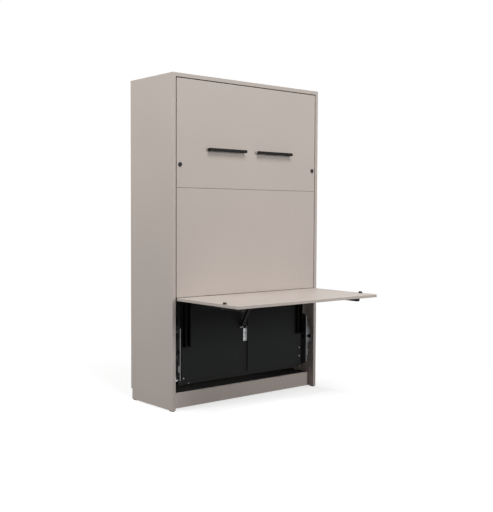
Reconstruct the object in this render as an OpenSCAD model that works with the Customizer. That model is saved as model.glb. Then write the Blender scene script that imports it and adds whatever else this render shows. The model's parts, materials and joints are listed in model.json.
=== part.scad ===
// Vertical wall bed with a fold-down desk in its lower front.
// Millimetres, +Z up. X = 0 is the middle of the cabinet and Z = 0 is the floor.
// Each piece is drawn with Y = 0 at the cabinet's front plane and +Y to the wall,
// and at_front() then moves it so that the whole object is centred on Y = 0.
// The pieces are drawn for the right side (+X); on_side(-1) mirrors them.

/* [Cabinet] */
// Outer width of the cabinet
cab_w = 1280; // [1274:1:1300]
// Outer height of the cabinet
cab_h = 2150; // [2148:1:2160]
// Depth of the cabinet, from its front plane to the wall
cab_d = 490; // [460:5:560]
// Thickness of the side and top panels
side_t = 25; // [22:1:28]
// Height of the plastic glides under the side panels
glide_h = 5; // [3:1:6]
// Height of the top edge of the plinth above the floor
plinth_z = 102; // [85:1:104]
// Setback of the plinth behind the front plane
plinth_in = 49; // [40:1:60]

/* [Front] */
// Thickness of the front panels and of the desk
board_t = 18; // [16:1:19]
// Gap between the front panels and the cabinet
front_gap = 6; // [4:0.5:8]
// Height of the seam between the two front panels
seam_z = 1430; // [1425:1:1450]
// Small chamfer on the edges of the boards
edge_c = 0.8; // [0.4:0.2:1.2]

/* [Desk] */
// Height of the desk top above the floor
desk_z = 728; // [727:0.5:730]
// Reach of the open desk in front of the cabinet
desk_d = 615; // [600:1:617]
// Radius of the two front corners of the desk
desk_corner_r = 15; // [5:1:25]
// Distance of the black support arms from the middle
arm_x = 502; // [500:1:504]

/* [Bed] */
// Distance of the bed's pivot behind the front plane
pivot_y = 42; // [40:1:43]
// Height of the bed's pivot above the floor
pivot_z = 372; // [370:1:374]
// Number of sprung slats
slat_count = 12; // [8:1:12]
// Rise of each slat at its middle
slat_bow = 10; // [4:1:14]
// Height of the fold-out legs above the floor, with the bed up
leg_z = 1681; // [1660:1:1720]

/* [Latches] */
// Distance of the bed latches from the middle
bed_latch_x = 583; // [582:0.5:584]
// Height of the bed latches above the floor
bed_latch_z = 1576; // [1520:1:1640]
// Radius of the round thumb-turns
knob_r = 14; // [11:1:14]

/* [Hidden] */

$fn = 48;
slip = 0.05;                        // radial clearance of a running fit
clear = 0.3;                        // gap between pieces that move past each other
greige = [0.72, 0.68, 0.64];
black_steel = [0.10, 0.10, 0.11];
dark_board = [0.14, 0.14, 0.15];
zinc = [0.75, 0.76, 0.78];
birch = [0.83, 0.72, 0.55];
plastic = [0.07, 0.07, 0.07];

// Cabinet
front_y = (desk_d - cab_d) / 2;     // where the front plane lies in the object's own frame
in_x = cab_w / 2 - side_t;          // inner faces of the side panels
top_z = cab_h - side_t;             // underside of the top panel
skirt_d = 15;                       // notch that clears the room's skirting
skirt_h = 75;
rail_h = 120;                       // back rails
rail_zs = [top_z - rail_h, 1090];   // the two that take the wall fixings
wall_hole_r = 4;
wall_hole_x = 450;
glide = [20, 40];                   // footprint of a glide
glide_inset = 3;

// Front panels and desk
front_x = in_x - front_gap;         // half the width of the panels and the desk
panel_low_z = desk_z + 2;           // lower edge of the middle panel
seam_gap = 1.8;
panel_top_z = top_z - front_gap;
hinge_y = 2;                        // desk hinge axis, at the corner of the boards
hinge_z = desk_z - 2;
desk_rear_y = -2;                   // rear edge of the desk
desk_low_z = desk_z - board_t;      // underside of the desk
desk_latch = [front_x - knob_r - 1, 143 - desk_d];  // thumb-turns near the desk's front corners

// Bed frame, steel tubes
tube = 40;
tube_t = 2;
tube_r = 3;
frame_y = 56;                       // front faces of the frame's tubes
frame_back_y = frame_y + tube;
frame_x = 560;                      // outer faces of the side rails
rail_w = 50;                        // width of the side rails
frame_low_z = 150;
frame_top_z = 2100;
beam_w = 76;
panel_rail_x = 590;
panel_rail_zs = [740, 1410, 2055];
cross_rail_zs = [410, 1410];
infill_t = 6;
infill_y = frame_y - infill_t;
infill_x = [26, 533];
infill_z = [180, panel_rail_zs[0]];
screw_r = 2.5;
screw_head_r = 5;
screw_head_h = 2;
screw_len = infill_t + tube_t;      // through a board and the wall of a tube

// Slats
slat = [542, 68, 8];                // half length, width, thickness
slat_y = 100;
slat_z0 = 300;
slat_pitch = 150;
slat_steps = 12;                    // straight stretches along a slat's curve
holder_x = 518;
holder = [36, 17, 76];

// Mattress hoops
hoop_r = 8;
hoop_bend = 40;
hoop_x = 350;
hoop_y = 230;

// Bed pivot
plate_t = 3;
bracket_t = 4;
pin_r = 8;
bush_r = 11;
bracket_front_y = 22;
bracket_z = [175, 539];
bracket_cut = 12;                   // slanted corners of the bracket's web
lip_x = 568;                        // outer edge of the bracket's front lip
lip_z = bracket_z + [bracket_cut, -bracket_cut];
strike = [581, 242, 284];           // tab for the desk latch: outer edge, and its two ends in Z
bracket_bolt_sites = [[62, 215], [62, 335], [62, 500]];
bolt_r = 4;
bolt_head = [7.5, 5.5];             // hexagon's corner radius, and height
washer = [8.5, 1.2];
collar = [13, 6];                   // shoulder of the pivot pin against its plate
pin_ring = [10.5, 2];               // ring at the inner end of the pivot pin
strip = [60, 195, 24, 312];         // plate on the side panel: low corner, width, height
plate_screw_sites = [for (z = [488, 430, 262, 214]) [strip[0] + strip[2] / 2, z]];
plate_bolt = [38, 346];             // large flat-headed bolt below the pivot
plate_bolt_head_r = 12;
plate_screw_len = 18;
gusset = [[strip[0] + 2, 480], [pivot_y - 13, pivot_z + 16], [plate_bolt.x - 13, plate_bolt.y],
          [plate_bolt.x - 9, plate_bolt.y - 10], [strip[0] + 2, plate_bolt.y - 24]];

// Gas struts
strut_x = 585;
strut_low = [45, 190];              // pivot on the bed bracket
strut_high = [160, 860];            // pivot on the cabinet
strut_len = norm(strut_high - strut_low);
strut_lean = atan2(strut_high.x - strut_low.x, strut_high.y - strut_low.y);
strut_tube_r = 11;
strut_wall = 2;
strut_rod_r = 5;
strut_tube_z = [250, 664];          // ends of the tube, measured from the lower pivot
strut_eye_w = 12;
strut_eye_r = 10;
strut_piston_z = strut_tube_z[0] + 30;
strut_seal = 14;                    // thickness of the tube's seal end
strut_neck_r = 7;
stud_r = 5;
anchor = [40, 68, 8];               // plate of the upper strut pivot: width, height, corner
anchor_screw_sites = [for (dz = [-22, 22]) strut_high + [0, dz]];

// Desk hinges
hinge_xs = [-430, 0, 430];
knuckle_w = 18;
knuckle_r = 3.6;
knuckle_pin_r = 1.8;
leaf_t = 1.6;

// Desk arms and the channels that they fold into
arm_w = 28;
arm_h = 29;
arm_y = [-535, -20];
arm_t = 2;
channel_w = 40;
channel_y = [20, infill_y];
channel_z = [400, panel_rail_zs[0]];

// Screws of the infill boards, as [x, z]
rail_screws_left = [[517, 193]];                        // into the side rail
rail_screws_right = [[520, 233], [520, 294]];
beam_screws = [[32, 305], [32, 640]];                   // into the centre beam
channel_screw = [arm_x - 10, channel_z[0] + 30];        // through the channel into the cross rail
function rail_screws(s) = s < 0 ? rail_screws_left : rail_screws_right;

// Desk stay, beside the track; its roller reaches into the track
stay_x = -32;
stay_top = [-75, 697];              // pivot under the desk
stay_low = [41, 491.4];             // roller in the track, with the desk open
stay_len = norm(stay_top - stay_low);
stay_lean = atan2(stay_low.x - stay_top.x, stay_top.y - stay_low.y);
stay_w = 28;
stay_t = 2;
stay_web_y = 7;                     // the web's distance in front of the line of the pivots
stay_pin_r = 4;
stay_end_r = 8;
roller = [12, 24];                  // radius and width
clevis = [40, 50, 3];               // base plate of the stay's upper pivot
track_z = [392, 502];
track_w = 32;
track_y = 46;
track_holes = [[4, 445, 5], [-4, 422, 3.5]];            // spare holes: x, z, radius
track_screws = [for (z = track_z + [9, -9]) [0, z]];

// Fold-out legs, with the bracket's lug inside the leg's open end
leg_axis = [356, -22];
leg_w = 19;
leg_end_x = [63, 365];
leg_foot_x = 51;
leg_pin_r = 3;
leg_lug_r = 7;
leg_lug_h = leg_w - 2 * tube_t - 2 * clear;
leg_base = [26, 3, 17];             // plate on the front panel
leg_mouth = 22;                     // length of the leg's end that is open at the back

// Latches
spindle_r = 4;
bed_cam = [23, 4, 26];              // start behind the front, thickness, reach
desk_cam = [27, 3, 27];
cam_w = 12;
knob_rim = 3;                       // height of the thumb-turn's straight rim
knob_dome = 5;
grip = [6, 11];                     // the thumb-turn's grip bar: width, height

// Latch keepers, and the holes' margins for cutting
keeper = [18, 3, 40];               // hook behind the cam: width, thickness, height
keeper_leg = [2, 42];               // tab on the side panel: thickness, depth
cut = 1;                            // how far a cutting shape stands clear of what it cuts

// ---- Helpers ----

module at_front() translate([0, front_y, 0]) children();

module on_side(s) {
    if (s < 0) mirror([1, 0, 0]) at_front() children();
    else at_front() children();
}

module both_sides() {
    for (s = [-1, 1]) on_side(s) children();
}

// A profile drawn in Y and Z, extruded along +X from x
module extrude_x(x, len) translate([x, 0, 0]) rotate([90, 0, 90]) linear_extrude(len) children();

// A round bar along +X
module bar_x(x, len, r) translate([x, 0, 0]) rotate([0, 90, 0]) cylinder(h = len, r = r);

module at_yz(p) translate([0, p.x, p.y]) children();

module hex_head(x) translate([x, 0, 0]) rotate([0, 90, 0])
    cylinder(h = bolt_head[1], r = bolt_head[0], $fn = 6);

module chamfered(w, h, c) polygon([[c, 0], [w - c, 0], [w, c], [w, h - c],
                                   [w - c, h], [c, h], [0, h - c], [0, c]]);

// A board with a small chamfer along every edge
module board(size, c = edge_c) intersection() {
    linear_extrude(size.z) chamfered(size.x, size.y, c);
    extrude_x(0, size.x) chamfered(size.y, size.z, c);
    translate([0, size.y, 0]) rotate([90, 0, 0]) linear_extrude(size.y) chamfered(size.x, size.z, c);
}

module rounded_rect(w, h, r) {
    translate([r, 0]) square([w - 2 * r, h]);
    translate([0, r]) square([w, h - 2 * r]);
    for (x = [r, w - r], y = [r, h - r]) translate([x, y]) circle(r);
}

module tube_section(w, h) difference() {
    rounded_rect(w, h, tube_r);
    translate([tube_t, tube_t]) square([w - 2 * tube_t, h - 2 * tube_t]);
}

// Steel tube along Z or along X, from its low corner
module tube_z(pos, w, h, len) translate(pos) linear_extrude(len) tube_section(w, h);
module tube_x(pos, w, h, len) translate(pos) extrude_x(0, len) tube_section(w, h);

module at_xz(p, y) translate([p.x, y, p.y]) rotate([-90, 0, 0]) children();

// Pan-headed screw driven towards +Y, with its head on the plane y
module screw_y(p, y, len) at_xz(p, y) {
    cylinder(h = len, r = screw_r);
    translate([0, 0, -screw_head_h]) cylinder(h = screw_head_h, r1 = screw_head_r - 1, r2 = screw_head_r);
}

module screw_hole_y(p, y, len) at_xz(p, y) cylinder(h = len, r = screw_r + slip);

// Countersunk head, flush with the front of a plate whose back is on the plane y
module sunk_head(p, y) at_xz(p, y - arm_t) cylinder(h = arm_t, r1 = screw_head_r, r2 = screw_r);

// ---- Cabinet ----

module side_panel(s) color(greige) on_side(s) difference() {
    intersection() {
        extrude_x(in_x, side_t) polygon([[edge_c, glide_h], [cab_d - skirt_d, glide_h],
            [cab_d - skirt_d, skirt_h], [cab_d, skirt_h], [cab_d, cab_h - edge_c],
            [cab_d - edge_c, cab_h], [edge_c, cab_h], [0, cab_h - edge_c], [0, glide_h + edge_c]]);
        translate([in_x, 0, 0]) linear_extrude(cab_h) chamfered(side_t, cab_d, edge_c);
        translate([in_x, cab_d, glide_h]) rotate([90, 0, 0])
            linear_extrude(cab_d) chamfered(side_t, cab_h - glide_h, edge_c);
    }
    for (p = concat(plate_screw_sites, anchor_screw_sites))
        at_yz(p) bar_x(in_x - 1, plate_screw_len - 1, screw_r + slip);
    at_yz(plate_bolt) bar_x(in_x - 1, plate_screw_len - 1, bolt_r + slip);
}

module top_panel() color(greige) at_front()
    translate([-in_x, 0, top_z]) board([2 * in_x, cab_d, side_t]);

module plinth_board() color(greige) at_front()
    translate([-in_x, plinth_in, glide_h]) board([2 * in_x, board_t, plinth_z - glide_h]);

module bottom_panel() color(dark_board) at_front() {
    y = plinth_in + board_t;
    translate([-in_x, y, plinth_z - board_t]) board([2 * in_x, cab_d - board_t - y, board_t]);
}

// Two rails against the wall take the wall fixings; the third stands on the bottom panel
module back_rails() color(greige) at_front() {
    for (z = rail_zs) difference() {
        translate([-in_x, cab_d - board_t, z]) board([2 * in_x, board_t, rail_h]);
        for (x = [-wall_hole_x, wall_hole_x])
            translate([x, cab_d + cut, z + rail_h / 2]) rotate([90, 0, 0])
                cylinder(h = board_t + 2 * cut, r = wall_hole_r);
    }
    translate([-in_x, cab_d - 2 * board_t, plinth_z]) board([2 * in_x, board_t, rail_h]);
}

module glide_feet() color(plastic) both_sides()
    for (y = [glide_inset, cab_d - skirt_d - glide_inset - glide.y])
        translate([cab_w / 2 - side_t / 2 - glide.x / 2, y, 0]) linear_extrude(glide_h)
            rounded_rect(glide.x, glide.y, 4);

// Steel plate on the inside of each side panel: an upright strip with a gusset to the pivot
module pivot_plate(s) color(zinc) on_side(s) difference() {
    extrude_x(in_x - plate_t, plate_t) {
        translate([strip[0], strip[1]]) rounded_rect(strip[2], strip[3], 5);
        polygon(gusset);
        translate([pivot_y, pivot_z]) circle(collar[0] + 3);
        translate(plate_bolt) circle(plate_bolt_head_r + 1);
    }
    for (p = plate_screw_sites) at_yz(p) bar_x(in_x - 5, 8, screw_r + slip);
    at_yz(plate_bolt) bar_x(in_x - 5, 8, bolt_r + slip);
    at_yz([pivot_y, pivot_z]) bar_x(in_x - 5, 8, pin_r);
}

// Shouldered pin that the bed turns on, with its retaining ring
module pivot_pins() color(black_steel) both_sides() at_yz([pivot_y, pivot_z]) {
    x0 = frame_x - 4;
    bar_x(x0, in_x - x0, pin_r);
    bar_x(x0 - 0.5, pin_ring[1], pin_ring[0]);
    bar_x(in_x - plate_t - collar[1], collar[1], collar[0]);
}

module plate_screws() color(zinc) both_sides() {
    for (p = concat(plate_screw_sites, anchor_screw_sites)) at_yz(p) {
        bar_x(in_x - plate_t, plate_screw_len, screw_r);
        bar_x(in_x - plate_t - screw_head_h, screw_head_h, screw_head_r);
    }
    at_yz(plate_bolt) {
        bar_x(in_x - plate_t, plate_screw_len, bolt_r);
        bar_x(in_x - plate_t - screw_head_h, screw_head_h, plate_bolt_head_r);
    }
}

module strut_anchors() color(zinc) both_sides() {
    difference() {
        extrude_x(in_x - plate_t, plate_t) translate(strut_high - [anchor[0], anchor[1]] / 2)
            rounded_rect(anchor[0], anchor[1], anchor[2]);
        for (p = anchor_screw_sites) at_yz(p) bar_x(in_x - 5, 8, screw_r + slip);
    }
    stub_x = strut_x + strut_eye_w / 2 + 1;
    at_yz(strut_high) bar_x(stub_x, in_x - plate_t - stub_x, stud_r);
}

// Bent tab on each side panel that the bed latch's cam turns behind
module latch_keepers() color(zinc) both_sides() {
    at_latch = [in_x, board_t + 1, bed_latch_z - keeper.z / 2];
    translate(at_latch - [keeper_leg[0], 0, 0]) cube([keeper_leg[0], keeper_leg[1], keeper.z]);
    translate(at_latch - [keeper.x, 0, 0]) cube(keeper);
}

// ---- Bed: front panels and frame ----

module panel_upper() color(greige) at_front() difference() {
    translate([-front_x, 0, seam_z]) board([2 * front_x, board_t, panel_top_z - seam_z]);
    for (s = [-1, 1]) translate([s * bed_latch_x, -1, bed_latch_z]) rotate([-90, 0, 0])
        cylinder(h = board_t + 2, r = spindle_r + slip);
}

module panel_middle() color(greige) at_front()
    translate([-front_x, 0, panel_low_z]) board([2 * front_x, board_t, seam_z - seam_gap - panel_low_z]);

module side_rail(s) color(black_steel) on_side(s) difference() {
    tube_z([frame_x - rail_w, frame_y, frame_low_z], rail_w, tube, frame_top_z - frame_low_z);
    for (p = rail_screws(s)) screw_hole_y(p, frame_y - cut, tube_t + 2 * cut);
    for (p = bracket_bolt_sites) at_yz(p) bar_x(frame_x - tube_t - cut, tube_t + 2 * cut, bolt_r + slip);
}

module centre_beam() color(black_steel) at_front() difference() {
    tube_z([-beam_w / 2, frame_y, frame_low_z + tube], beam_w, tube,
           frame_top_z - frame_low_z - 2 * tube);
    for (p = track_screws) screw_hole_y(p, frame_y - cut, tube_t + 2 * cut);
    for (s = [-1, 1], p = beam_screws) screw_hole_y([s * p.x, p.y], frame_y - cut, tube_t + 2 * cut);
}

module end_rail(z) tube_x([rail_w - frame_x, frame_y, z], tube, tube, 2 * (frame_x - rail_w));

module head_rail() color(black_steel) at_front() end_rail(frame_low_z);

module foot_rail() color(black_steel) at_front() end_rail(frame_top_z - tube);

module cross_rails() color(black_steel) both_sides() difference() {
    for (z = cross_rail_zs)
        tube_x([beam_w / 2, frame_y, z], tube, tube, frame_x - rail_w - beam_w / 2);
    screw_hole_y(channel_screw, frame_y - cut, tube_t + 2 * cut);
}

// The three rails that the front panels are screwed to
module panel_rails() color(black_steel) at_front()
    for (z = panel_rail_zs)
        tube_x([-panel_rail_x, board_t, z], frame_y - board_t, tube, 2 * panel_rail_x);

module infill_board(s) color(dark_board) on_side(s) difference() {
    translate([infill_x[0], infill_y, infill_z[0]])
        board([infill_x[1] - infill_x[0], infill_t, infill_z[1] - infill_z[0]], edge_c / 2);
    for (p = concat(rail_screws(s), beam_screws, [channel_screw]))
        screw_hole_y(p, infill_y - cut, infill_t + 2 * cut);
}

module board_screws() color(zinc) {
    for (s = [-1, 1]) on_side(s) {
        for (p = concat(rail_screws(s), beam_screws)) screw_y(p, infill_y, screw_len);
        at_xz(channel_screw, infill_y) cylinder(h = screw_len, r = screw_r);
        sunk_head(channel_screw, infill_y);
    }
    at_front() for (p = track_screws) {
        at_xz(p, frame_y) cylinder(h = tube_t, r = screw_r);
        sunk_head(p, frame_y);
    }
}

// Folded steel bracket on each side rail: a web that carries the pivot, a narrow lip along its
// front edge, and a tab on the lip that the desk latch's cam turns behind
module bed_bracket(s) color(zinc) on_side(s) difference() {
    union() {
        extrude_x(frame_x, bracket_t) translate([bracket_front_y, bracket_z[0]])
            chamfered(frame_back_y - bracket_front_y, bracket_z[1] - bracket_z[0], bracket_cut);
        translate([frame_x, bracket_front_y, lip_z[0]])
            cube([lip_x - frame_x, bracket_t, lip_z[1] - lip_z[0]]);
        translate([lip_x - cut, bracket_front_y, strike[1]])
            cube([strike[0] - lip_x + cut, bracket_t, strike[2] - strike[1]]);
    }
    at_yz([pivot_y, pivot_z]) bar_x(frame_x - cut, bracket_t + 2 * cut, bush_r);
    for (p = bracket_bolt_sites) at_yz(p) bar_x(frame_x - cut, bracket_t + 2 * cut, bolt_r + slip);
}

module bracket_bolts() color(zinc) both_sides() for (p = bracket_bolt_sites) at_yz(p) {
    bar_x(frame_x - 6, bracket_t + 6, bolt_r);
    hex_head(frame_x + bracket_t);
    bar_x(frame_x + bracket_t, washer[1], washer[0]);
}

module pivot_bushes() color(plastic) both_sides() at_yz([pivot_y, pivot_z]) difference() {
    union() {
        bar_x(frame_x - 1.5, bracket_t + 4, bush_r);
        bar_x(frame_x + bracket_t, 2.5, bush_r + 4);
    }
    bar_x(frame_x - 3, bracket_t + 8, pin_r + slip);
}

module strut_studs() color(zinc) both_sides() at_yz(strut_low) {
    x0 = frame_x + bracket_t;
    x1 = strut_x - strut_eye_w / 2 - 0.5;
    bar_x(x0, x1 - x0, stud_r + 3);
    bar_x(x0, strut_x + strut_eye_w / 2 + 3 - x0, stud_r);
    bar_x(strut_x + strut_eye_w / 2 + 0.5, 2.5, stud_r + 2.5);
}

// ---- Bed: slats and mattress hoops ----

function bow(x) = slat_bow * (1 - pow(x / slat.x, 2));
slat_xs = [for (i = [0:slat_steps]) slat.x * (2 * i / slat_steps - 1)];

module slats() color(birch) at_front() for (i = [0:slat_count - 1])
    translate([0, slat_y, slat_z0 + i * slat_pitch - slat.y / 2]) linear_extrude(slat.y)
        polygon(concat([for (x = slat_xs) [x, bow(x)]],
                       [for (x = slat_xs) [-x, bow(x) + slat.z]]));

module slat_holders() color(plastic) both_sides() for (i = [0:slat_count - 1])
    translate([holder_x, frame_back_y, slat_z0 + i * slat_pitch]) difference() {
        translate([0, 0, -holder.z / 2]) board(holder, 1.5);
        translate([-1, slat_y - frame_back_y - clear, -slat.y / 2 - clear])
            cube([slat.x - holder_x + 1.5, slat.z + 1.6, slat.y + 2 * clear]);
    }

// Bent round tube that stops the mattress from sliding off its end of the frame
module mattress_hoop(z) color(black_steel) at_front() translate([0, frame_back_y, z]) {
    reach = hoop_y - frame_back_y - hoop_bend;
    for (s = [-1, 1]) {
        translate([s * hoop_x, 0, 0]) rotate([-90, 0, 0]) cylinder(h = reach, r = hoop_r);
        translate([s * (hoop_x - hoop_bend), reach, 0]) rotate([0, 0, s > 0 ? 0 : 90])
            rotate_extrude(angle = 90) translate([hoop_bend, 0]) circle(hoop_r);
    }
    translate([hoop_bend - hoop_x, reach + hoop_bend, 0]) rotate([0, 90, 0])
        cylinder(h = 2 * (hoop_x - hoop_bend), r = hoop_r);
}

module mattress_hoop_head() mattress_hoop(frame_low_z + tube / 2);
module mattress_hoop_foot() mattress_hoop(frame_top_z - tube / 2);

// ---- Desk support on the bed ----

// Channel section that opens to the front: width, depth, corner radius
module channel_section(w, d, r) difference() {
    rounded_rect(w, d, r);
    translate([arm_t, -cut]) square([w - 2 * arm_t, d - arm_t + cut]);
}

module support_channel(s) color(black_steel) on_side(s) difference() {
    translate([arm_x - channel_w / 2, channel_y[0], channel_z[0]]) linear_extrude(channel_z[1] - channel_z[0])
        channel_section(channel_w, channel_y[1] - channel_y[0], arm_t);
    sunk_head(channel_screw, channel_y[1]);
}

// Galvanised channel on the centre beam, open to the front
module stay_track() color(zinc) at_front() difference() {
    translate([-track_w / 2, track_y, track_z[0]]) linear_extrude(track_z[1] - track_z[0])
        channel_section(track_w, frame_y - track_y, arm_t / 2);
    for (h = track_holes) at_xz(h, frame_y - arm_t - cut) cylinder(h = arm_t + 2 * cut, r = h[2]);
    for (p = track_screws) sunk_head(p, frame_y);
}

// Hinge knuckles: the bed's leaf has the odd ones and the desk's leaf has the even ones
module knuckles(first) for (hx = hinge_xs, i = [first:2:4])
    translate([hx + (i - 2.5) * knuckle_w + clear / 2, hinge_y, hinge_z]) rotate([0, 90, 0])
        difference() {
            cylinder(h = knuckle_w - clear, r = knuckle_r);
            translate([0, 0, -1]) cylinder(h = knuckle_w + 1, r = knuckle_pin_r + first * slip);
        }

module hinge_leaves_bed() color(zinc) at_front() difference() {
    union() {
        knuckles(0);
        for (hx = hinge_xs) difference() {
            translate([hx - 2.5 * knuckle_w + clear / 2, hinge_y, panel_low_z - leaf_t])
                cube([5 * knuckle_w - clear, board_t - hinge_y, leaf_t]);
            for (i = [1, 3]) translate([hx + (i - 2.5) * knuckle_w - clear / 2, 0, panel_low_z - leaf_t - 1])
                cube([knuckle_w + clear, hinge_y + knuckle_r + clear, leaf_t + 2]);
        }
    }
    for (hx = hinge_xs) translate([0, hinge_y, hinge_z])
        bar_x(hx - 3 * knuckle_w, 6 * knuckle_w, knuckle_pin_r);
}

module hinge_leaves_desk() color(zinc) at_front() difference() {
    union() {
        knuckles(1);
        for (hx = hinge_xs) difference() {
            translate([hx - 2.5 * knuckle_w + clear / 2, desk_rear_y, desk_low_z])
                cube([5 * knuckle_w - clear, leaf_t, hinge_z - desk_low_z]);
            for (i = [0, 2, 4]) translate([hx + (i - 2.5) * knuckle_w - clear / 2, desk_rear_y - 1,
                                           hinge_z - knuckle_r - clear])
                cube([knuckle_w + clear, leaf_t + 2, knuckle_r + clear + 1]);
        }
    }
    for (hx = hinge_xs) translate([0, hinge_y, hinge_z])
        bar_x(hx - 3 * knuckle_w, 6 * knuckle_w, knuckle_pin_r + slip);
}

module hinge_pins() color(zinc) at_front() for (hx = hinge_xs) translate([0, hinge_y, hinge_z])
    bar_x(hx - 2.5 * knuckle_w, 5 * knuckle_w, knuckle_pin_r);

// ---- Desk ----

module desk_board() color(greige) at_front() difference() {
    depth = desk_d + desk_rear_y;
    translate([-front_x, -desk_d, desk_low_z]) intersection() {
        board([2 * front_x, depth, board_t]);
        linear_extrude(board_t) difference() {
            square([2 * front_x, depth]);
            for (s = [-1, 1]) translate([front_x + s * (front_x - desk_corner_r), desk_corner_r])
                difference() {
                    translate([s > 0 ? 0 : -desk_corner_r - cut, -desk_corner_r - cut])
                        square(desk_corner_r + cut);
                    circle(desk_corner_r);
                }
        }
    }
    for (s = [-1, 1]) translate([s * desk_latch.x, desk_latch.y, desk_low_z - 1])
        cylinder(h = board_t + 2, r = spindle_r + slip);
}

module desk_arm(s) color(black_steel) on_side(s)
    translate([arm_x - arm_w / 2, arm_y[1], desk_low_z - arm_h]) rotate([90, 0, 0])
        linear_extrude(arm_y[1] - arm_y[0]) tube_section(arm_w, arm_h);

module at_stay(p) at_front() translate([stay_x, p.x, p.y]) children();

// Pin along X, centred on the stay and as long as half_w to each side
module stay_pin(half_w, r) bar_x(-half_w, 2 * half_w, r);

module stay_clevis() color(black_steel) at_stay(stay_top) {
    ear_x = stay_w / 2 + 2;
    drop = desk_low_z - clevis.z - stay_top.y;
    translate([-clevis.x / 2, -clevis.y / 2, drop]) cube(clevis);
    difference() {
        for (x = [-ear_x - clevis.z, ear_x]) extrude_x(x, clevis.z) {
            circle(stay_end_r);
            translate([-stay_end_r, 0]) square([2 * stay_end_r, drop + cut]);
        }
        stay_pin(ear_x + clevis.z + cut, stay_pin_r);
    }
    stay_pin(ear_x + clevis.z + 2, stay_pin_r);
}

// Folded channel with round ends, from the roller up to the pivot under the desk.
// Its web faces the front and stops short of both pivots.
module stay_arm() color(black_steel) at_stay(stay_low) rotate([stay_lean, 0, 0]) difference() {
    inner_w = stay_w - 2 * stay_t;
    web_end = 2 * stay_end_r;
    extrude_x(-stay_w / 2, stay_w) {
        translate([-stay_web_y, 0]) square([2 * stay_web_y, stay_len]);
        for (z = [0, stay_len]) translate([0, z]) circle(stay_end_r);
    }
    translate([-inner_w / 2, stay_t - stay_web_y, -web_end]) cube([inner_w, web_end, stay_len + 2 * web_end]);
    for (z = [-web_end, stay_len - web_end])
        translate([-inner_w / 2, -web_end, z]) cube([inner_w, 2 * web_end, 2 * web_end]);
    stay_pin(stay_w, stay_pin_r);
    at_yz([0, stay_len]) stay_pin(stay_w, stay_pin_r + slip);
}

// Roller in the track, on a bolt whose head is on the arm's left
module stay_roller() color(zinc) at_stay(stay_low) {
    left_x = -stay_w / 2;
    right_x = -stay_x + roller[1] / 2;
    bar_x(left_x, right_x - left_x, stay_pin_r);
    bar_x(right_x - roller[1], roller[1], roller[0]);
    bar_x(left_x - washer[1], washer[1], washer[0]);
    hex_head(left_x - bolt_head[1]);
}

// ---- Gas struts ----

module strut_frame(s) on_side(s) translate([strut_x, strut_low.x, strut_low.y]) rotate([-strut_lean, 0, 0])
    children();

module strut_eye(z, r) difference() {
    at_yz([0, z]) bar_x(-strut_eye_w / 2, strut_eye_w, r);
    at_yz([0, z]) bar_x(-strut_eye_w, 2 * strut_eye_w, stud_r + slip);
}

module strut_rod(s) color([0.85, 0.85, 0.87]) strut_frame(s) {
    strut_eye(0, strut_eye_r);
    difference() {
        union() {
            translate([0, 0, strut_eye_r - 2]) cylinder(h = 14, r = strut_neck_r);
            cylinder(h = strut_piston_z, r = strut_rod_r);
            translate([0, 0, strut_piston_z]) cylinder(h = 10, r = strut_tube_r - strut_wall - 2 * slip);
        }
        bar_x(-strut_eye_w, 2 * strut_eye_w, strut_eye_r - 1);
    }
}

module strut_tube(s) color(black_steel) strut_frame(s) {
    difference() {
        translate([0, 0, strut_tube_z[0]]) cylinder(h = strut_tube_z[1] - strut_tube_z[0], r = strut_tube_r);
        translate([0, 0, strut_tube_z[0] + strut_seal])
            cylinder(h = strut_tube_z[1] - strut_tube_z[0] - 22, r = strut_tube_r - strut_wall);
        translate([0, 0, strut_tube_z[0] - cut]) cylinder(h = strut_seal + 2 * cut, r = strut_rod_r + slip);
    }
    difference() {
        translate([0, 0, strut_tube_z[1]]) cylinder(h = 10, r = strut_neck_r);
        at_yz([0, strut_len]) bar_x(-strut_eye_w, 2 * strut_eye_w, strut_eye_r - 1);
    }
    strut_eye(strut_len, strut_eye_r);
}

// ---- Latches ----

// Domed thumb-turn with a grip bar, its spindle and its cam. The knob points along +Z,
// and the cam points along +Y. cam holds where it starts below the face, its thickness and reach.
module latch(cam) {
    dome = [for (a = [0:15:90]) [knob_r * cos(a), knob_rim + knob_dome * sin(a)]];
    translate([0, 0, clear]) {
        rotate_extrude() polygon(concat([[0, 0], [knob_r, 0]], dome));
        intersection() {
            translate([-grip[0] / 2, -knob_r, 0]) cube([grip[0], 2 * knob_r, grip[1]]);
            cylinder(h = grip[1], r = knob_r - 2);
        }
    }
    translate([0, 0, -cam[0] - cam[1] - cut]) cylinder(h = cam[0] + cam[1] + 2 * cut, r = spindle_r);
    translate([0, 0, -cam[0] - cam[1]]) linear_extrude(cam[1]) {
        circle(cam_w / 2 + 2);
        translate([-cam_w / 2, 0]) square([cam_w, cam[2] - cam_w / 2]);
        translate([0, cam[2] - cam_w / 2]) circle(cam_w / 2);
    }
}

module bed_latch(s) color(plastic) on_side(s) translate([bed_latch_x, 0, bed_latch_z])
    rotate([90, 0, 0]) latch(bed_cam);

module desk_latch(s) color(plastic) on_side(s) translate([desk_latch.x, desk_latch.y, desk_z])
    latch(desk_cam);

// ---- Fold-out legs, which lie flat as handles while the bed is up ----

module at_leg() translate([leg_axis.x, leg_axis.y, leg_z]) children();

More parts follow.
